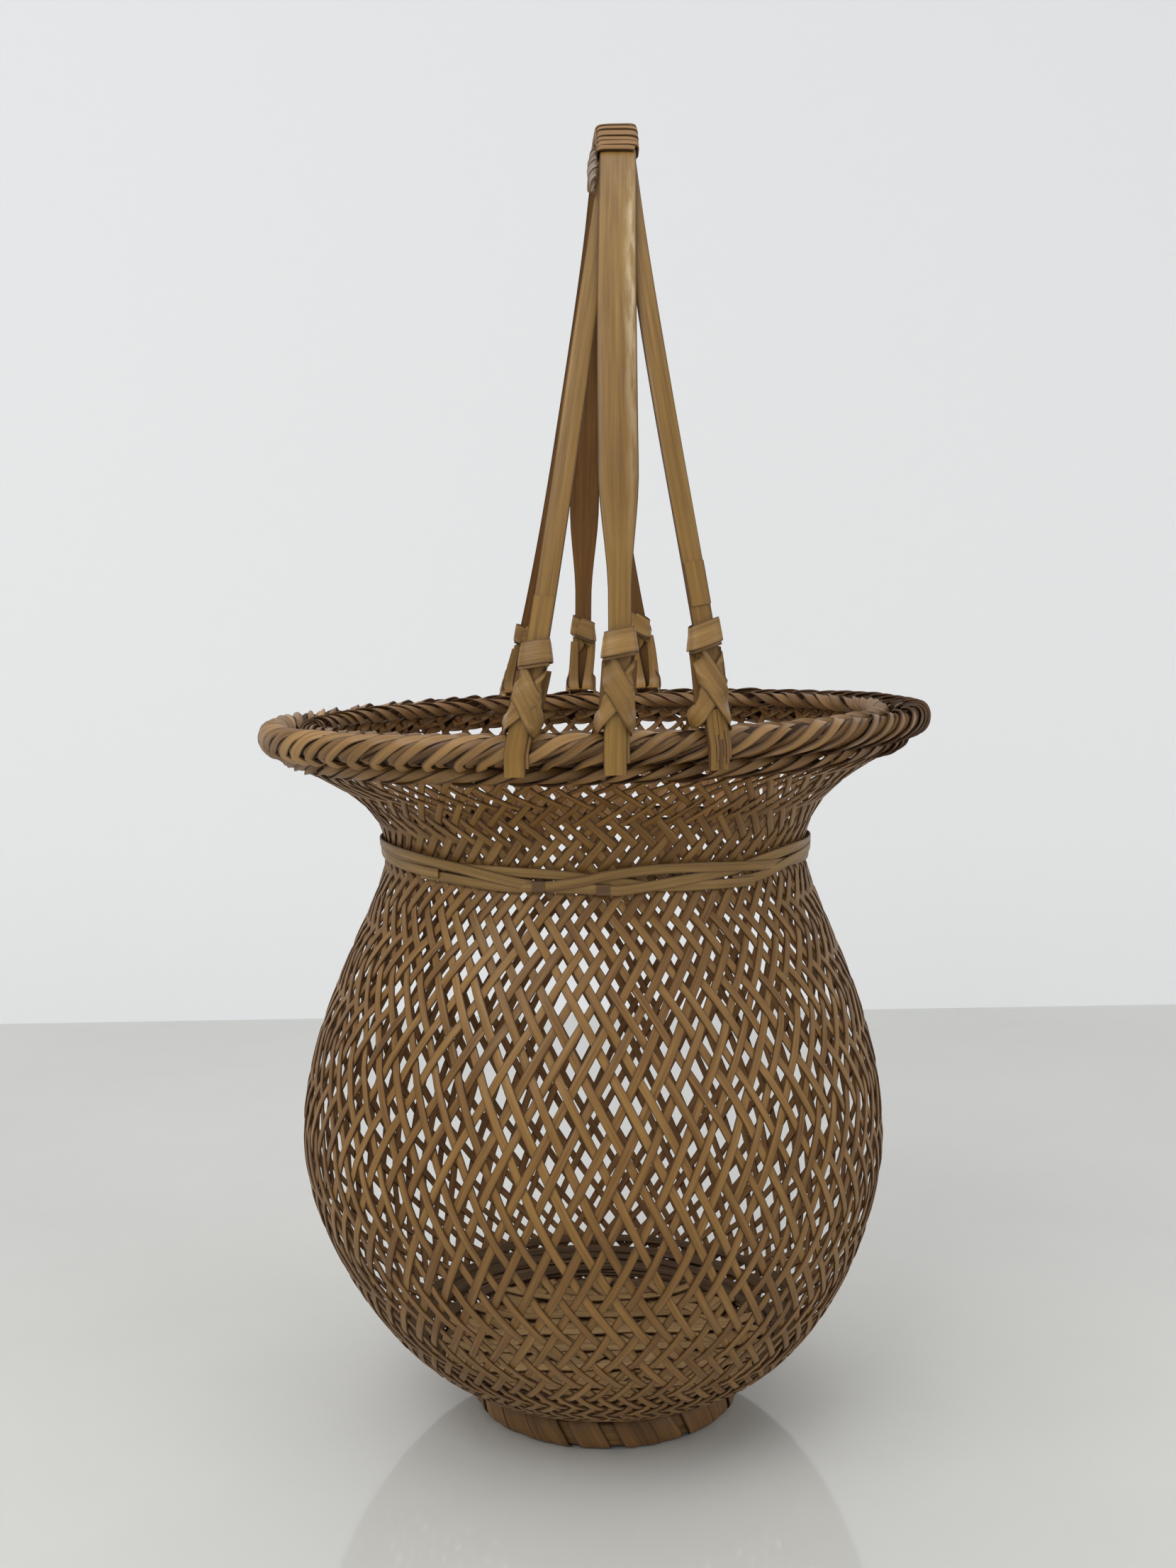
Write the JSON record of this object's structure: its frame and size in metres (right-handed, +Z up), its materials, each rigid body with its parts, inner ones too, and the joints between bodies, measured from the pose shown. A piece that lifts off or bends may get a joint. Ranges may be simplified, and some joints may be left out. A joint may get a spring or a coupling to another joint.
{
  "type": "ikebana basket",
  "caption": "Plaited bamboo flower basket with a round belly, waisted neck, rolled rim, bound foot ring and a tall arched carrying handle.",
  "frame": {"origin": "centre of the footprint box at floor level, under the middle of the mouth", "axes": "+Z up; the handle's arch runs front to back along Y, with the front at -Y"},
  "size_m": [0.2, 0.2068, 0.3873],
  "materials": {
    "body": "semi-gloss plaited bamboo strips, honey brown",
    "rim": "semi-gloss twisted bamboo strips, olive brown",
    "neck": "semi-gloss flat bamboo strand, yellow brown",
    "handle": "glossy bamboo skin, honey brown with a darker grain",
    "lashing": "satin bamboo strip, straw to brown",
    "foot": "dull bamboo strip, tan brown",
    "inside": "matt bamboo, dark brown"
  },
  "bodies": {
    "root": {"base_coil": "inside", "base_slat_lower_1": "inside", "base_slat_lower_2": "inside", "base_slat_lower_3": "inside", "base_slat_upper_1": "inside", "base_slat_upper_2": "inside", "base_slat_upper_3": "inside", "crown_binding": "lashing", "crown_tail": "lashing", "foot_binding": "foot", "foot_hoop": "foot", "handle_centre_strip": "handle", "handle_left_strip": "handle", "handle_right_strip": "handle", "lashing_collar_back_centre": "lashing", "lashing_collar_back_left": "lashing", "lashing_collar_back_right": "lashing", "lashing_collar_front_centre": "lashing", "lashing_collar_front_left": "lashing", "lashing_collar_front_right": "lashing", "lashing_tie_back_centre": "lashing", "lashing_tie_back_left": "lashing", "lashing_tie_back_right": "lashing", "lashing_tie_front_centre": "lashing", "lashing_tie_front_left": "lashing", "lashing_tie_front_right": "lashing", "neck_winding": "neck", "rim_inner_rope": "rim", "rim_lower_rope": "rim", "rim_outer_roll": "rim", "woven_body": "body"}
  },
  "joints": []
}
